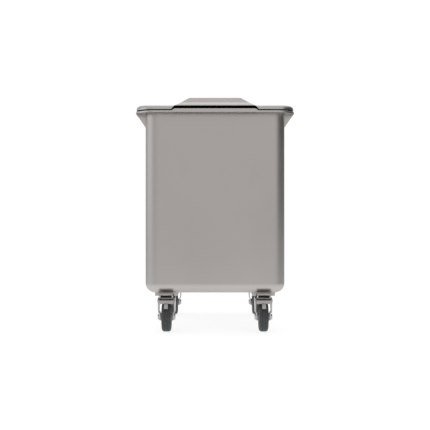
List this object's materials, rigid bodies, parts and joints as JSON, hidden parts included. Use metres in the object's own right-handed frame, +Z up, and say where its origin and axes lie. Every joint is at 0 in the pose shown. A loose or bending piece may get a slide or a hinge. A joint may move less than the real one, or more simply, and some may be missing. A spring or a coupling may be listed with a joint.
{
  "type": "mobile ingredient bin",
  "caption": "Stainless steel mobile ingredient bin on swivel casters, with flared side aprons and a hinged lid with a front finger grip.",
  "frame": {"origin": "on the ground, under the middle of the bin's footprint", "axes": "+Z up; -Y towards the grip end of the lid; +X to the right when facing the grip end"},
  "size_m": [0.433, 0.606, 0.6364],
  "materials": {
    "tub_steel": "satin",
    "lid_steel": "satin",
    "seal_rubber": "matte",
    "black_plastic": "matte",
    "caster_steel": "satin",
    "fastener_steel": "satin",
    "tyre_rubber": "matte",
    "core_plastic": "satin",
    "bush_nylon": "satin",
    "cover_polymer": "matte"
  },
  "bodies": {
    "root": {"tub_shell": "tub_steel", "tub_rim": "tub_steel", "side_apron_l": "tub_steel", "side_apron_r": "tub_steel", "tub_doublers": "tub_steel", "caster_screws": "fastener_steel", "swivel_covers": "cover_polymer", "rim_rivets": "fastener_steel", "hinge_bracket_l": "caster_steel", "hinge_bracket_r": "caster_steel", "hinge_pin_l": "fastener_steel", "hinge_pin_r": "fastener_steel", "caster_plate_fl": "caster_steel", "caster_plate_fr": "caster_steel", "caster_plate_rl": "caster_steel", "caster_plate_rr": "caster_steel", "kingpin_fl": "fastener_steel", "kingpin_fr": "fastener_steel", "kingpin_rl": "fastener_steel", "kingpin_rr": "fastener_steel"},
    "lid": {"lid_shell": "lid_steel", "lid_hood": "lid_steel", "grip_liner": "black_plastic", "lid_seal": "seal_rubber", "lid_rivets": "fastener_steel", "hinge_leaf_l": "lid_steel", "hinge_leaf_r": "lid_steel"},
    "caster_fl": {"fork_fl": "caster_steel", "bearing_balls_fl": "fastener_steel", "axle_bolt_fl": "fastener_steel", "axle_nut_fl": "fastener_steel", "brake_pin_fl": "fastener_steel"},
    "wheel_fl": {"tyre_fl": "tyre_rubber", "wheel_core_fl": "core_plastic", "wheel_bush_fl": "bush_nylon"},
    "pedal_fl": {"brake_pedal_fl": "caster_steel"},
    "caster_fr": {"fork_fr": "caster_steel", "bearing_balls_fr": "fastener_steel", "axle_bolt_fr": "fastener_steel", "axle_nut_fr": "fastener_steel", "brake_pin_fr": "fastener_steel"},
    "wheel_fr": {"tyre_fr": "tyre_rubber", "wheel_core_fr": "core_plastic", "wheel_bush_fr": "bush_nylon"},
    "pedal_fr": {"brake_pedal_fr": "caster_steel"},
    "caster_rl": {"fork_rl": "caster_steel", "bearing_balls_rl": "fastener_steel", "axle_bolt_rl": "fastener_steel", "axle_nut_rl": "fastener_steel"},
    "wheel_rl": {"tyre_rl": "tyre_rubber", "wheel_core_rl": "core_plastic", "wheel_bush_rl": "bush_nylon"},
    "caster_rr": {"fork_rr": "caster_steel", "bearing_balls_rr": "fastener_steel", "axle_bolt_rr": "fastener_steel", "axle_nut_rr": "fastener_steel"},
    "wheel_rr": {"tyre_rr": "tyre_rubber", "wheel_core_rr": "core_plastic", "wheel_bush_rr": "bush_nylon"}
  },
  "joints": [
    {"name": "lid_hinge", "type": "hinge", "parent": "root", "child": "lid", "pos_m": [0, 0.294, 0.611], "axis": [-1, 0, 0], "range_deg": [0, 105]},
    {"name": "swivel_fl", "type": "hinge", "parent": "root", "child": "caster_fl", "pos_m": [-0.133, -0.208, 0.09], "axis": [0, 0, 1], "continuous": true},
    {"name": "spin_fl", "type": "hinge", "parent": "caster_fl", "child": "wheel_fl", "pos_m": [-0.133, -0.238, 0.04], "axis": [1, 0, 0], "continuous": true},
    {"name": "brake_fl", "type": "hinge", "parent": "caster_fl", "child": "pedal_fl", "pos_m": [-0.133, -0.251, 0.085], "axis": [1, 0, 0], "range_deg": [0, 9]},
    {"name": "swivel_fr", "type": "hinge", "parent": "root", "child": "caster_fr", "pos_m": [0.133, -0.208, 0.09], "axis": [0, 0, 1], "continuous": true},
    {"name": "spin_fr", "type": "hinge", "parent": "caster_fr", "child": "wheel_fr", "pos_m": [0.133, -0.238, 0.04], "axis": [1, 0, 0], "continuous": true},
    {"name": "brake_fr", "type": "hinge", "parent": "caster_fr", "child": "pedal_fr", "pos_m": [0.133, -0.251, 0.085], "axis": [1, 0, 0], "range_deg": [0, 9]},
    {"name": "swivel_rl", "type": "hinge", "parent": "root", "child": "caster_rl", "pos_m": [-0.133, 0.208, 0.09], "axis": [0, 0, 1], "continuous": true},
    {"name": "spin_rl", "type": "hinge", "parent": "caster_rl", "child": "wheel_rl", "pos_m": [-0.133, 0.178, 0.04], "axis": [1, 0, 0], "continuous": true},
    {"name": "swivel_rr", "type": "hinge", "parent": "root", "child": "caster_rr", "pos_m": [0.133, 0.208, 0.09], "axis": [0, 0, 1], "continuous": true},
    {"name": "spin_rr", "type": "hinge", "parent": "caster_rr", "child": "wheel_rr", "pos_m": [0.133, 0.178, 0.04], "axis": [1, 0, 0], "continuous": true}
  ]
}
